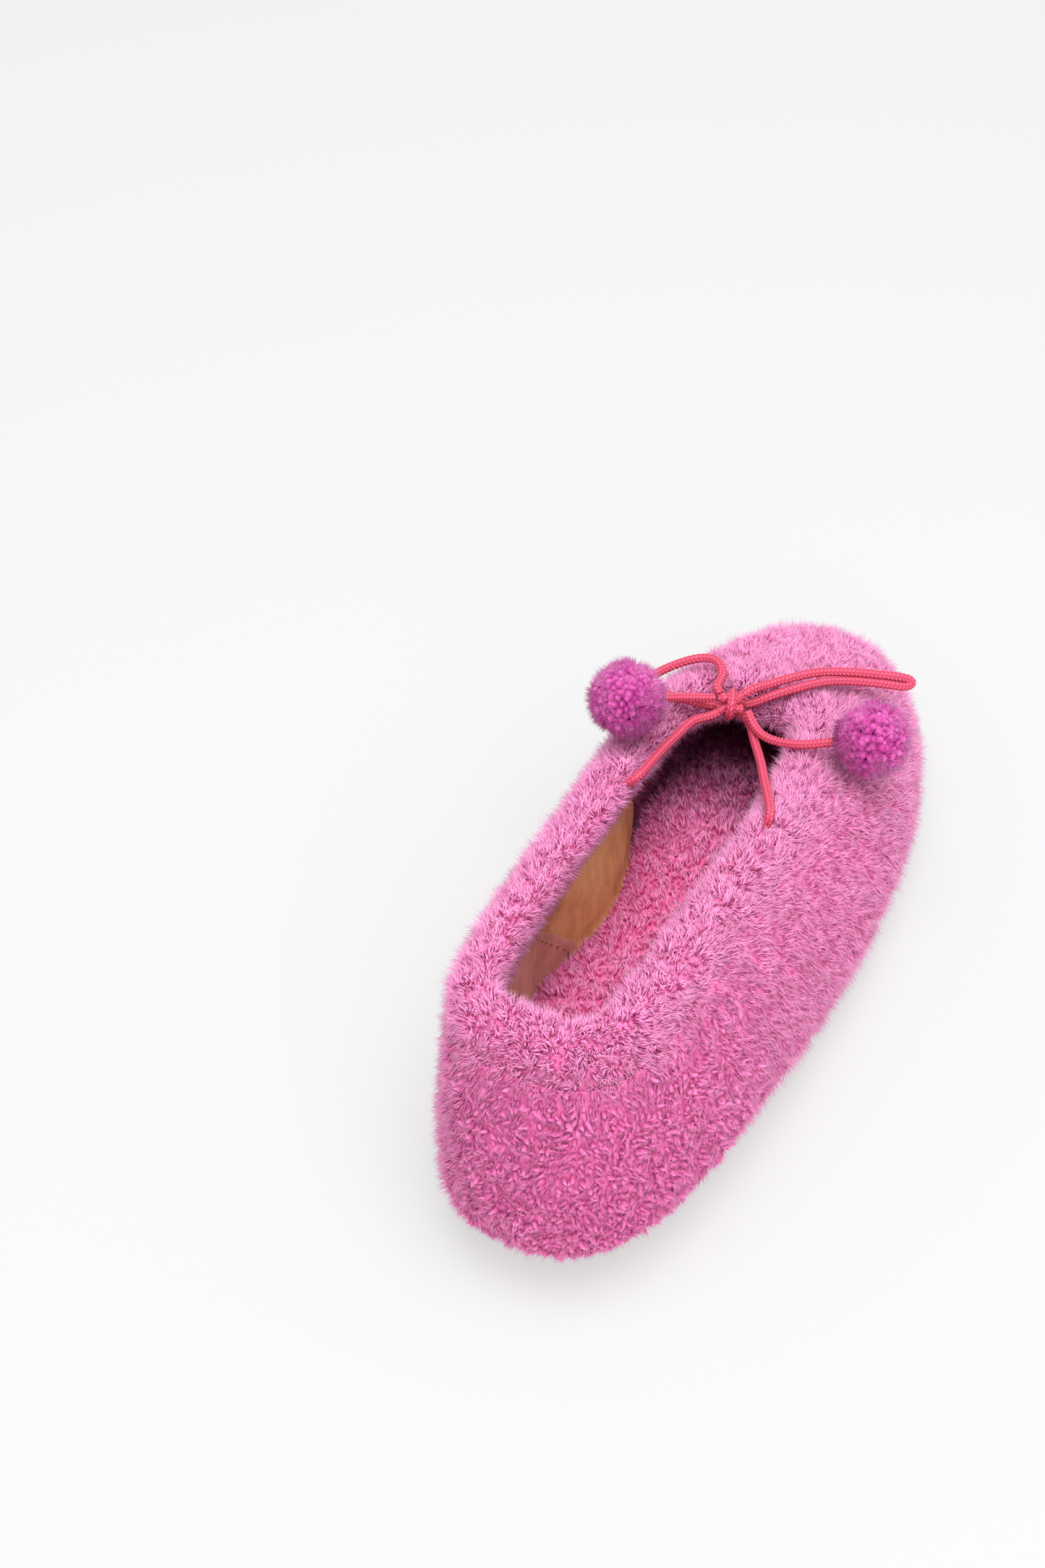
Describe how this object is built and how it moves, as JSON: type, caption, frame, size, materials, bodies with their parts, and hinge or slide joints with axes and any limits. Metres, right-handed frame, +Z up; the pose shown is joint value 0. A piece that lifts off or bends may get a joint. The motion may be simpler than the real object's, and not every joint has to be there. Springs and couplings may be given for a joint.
{
  "type": "shearling slipper with pom-pom bow",
  "caption": "Right-foot shearling ballerina slipper with a low stacked heel, a leather lining and a drawcord tied in a bow whose ends carry swinging yarn pom-poms.",
  "frame": {"origin": "on the floor, under the middle of the slipper's outline without the free cord", "axes": "+Y towards the toe, +X towards the lateral side of the right foot, +Z up"},
  "size_m": [0.1019, 0.269, 0.0875],
  "materials": {
    "wool": "dense dyed sheepskin wool, matt",
    "yarn": "cut wool yarn, matt",
    "cord": "finely braided cord, slight sheen",
    "lining_leather": "smooth tan lining leather",
    "sole_leather": "natural sole leather, satin",
    "stacked_leather": "stained stacked leather edge",
    "suede": "brown suede",
    "thread": "sewing thread",
    "tread_rubber": "brown heel rubber, matt",
    "board": "fibre board",
    "foam": "soft foam",
    "shank_steel": "spring steel"
  },
  "bodies": {
    "slipper": {"outsole": "sole_leather", "heel_lift_upper": "stacked_leather", "heel_lift_lower": "stacked_leather", "heel_tread_rubber": "tread_rubber", "heel_tread_leather": "sole_leather", "insole_board": "board", "shank": "shank_steel", "bottom_filler": "board", "footbed_foam": "foam", "footbed_shearling": "wool", "vamp": "wool", "quarter_lateral": "wool", "quarter_medial": "wool", "collar_binding": "wool", "throat_binding": "wool", "vamp_lining": "wool", "quarter_lining": "lining_leather", "heel_counter": "board", "toe_puff": "board", "heel_grip": "suede", "heel_grip_stitching": "thread", "drawcord": "cord", "cord_lead_left": "cord", "cord_lead_right": "cord", "bow_knot": "cord", "bow_loop_left": "cord", "bow_loop_right": "cord"},
    "tail_left": {"cord_tail_left": "cord"},
    "tail_right": {"cord_tail_right": "cord"},
    "pom_left": {"pom_left": "yarn", "pom_tie_left": "yarn"},
    "pom_right": {"pom_right": "yarn", "pom_tie_right": "yarn"}
  },
  "joints": [
    {"name": "tail_left_lift", "type": "hinge", "parent": "slipper", "child": "tail_left", "pos_m": [-0.01858, 0.05403, 0.05941], "axis": [-0.8089, 0.5879, 0], "range_deg": [0, 50]},
    {"name": "pom_left_spin", "type": "hinge", "parent": "tail_left", "child": "pom_left", "pos_m": [-0.0375, 0.028, 0.074], "axis": [-0.4659, -0.7624, 0.449], "range_deg": [-90, 90]},
    {"name": "tail_right_lift", "type": "hinge", "parent": "slipper", "child": "tail_right", "pos_m": [-0.00805, 0.05509, 0.05728], "axis": [-0.085, -0.9964, 0], "range_deg": [0, 55]},
    {"name": "pom_right_spin", "type": "hinge", "parent": "tail_right", "child": "pom_right", "pos_m": [0.034, 0.0515, 0.0655], "axis": [0.9307, 0.2246, 0.2888], "range_deg": [-90, 90]}
  ]
}
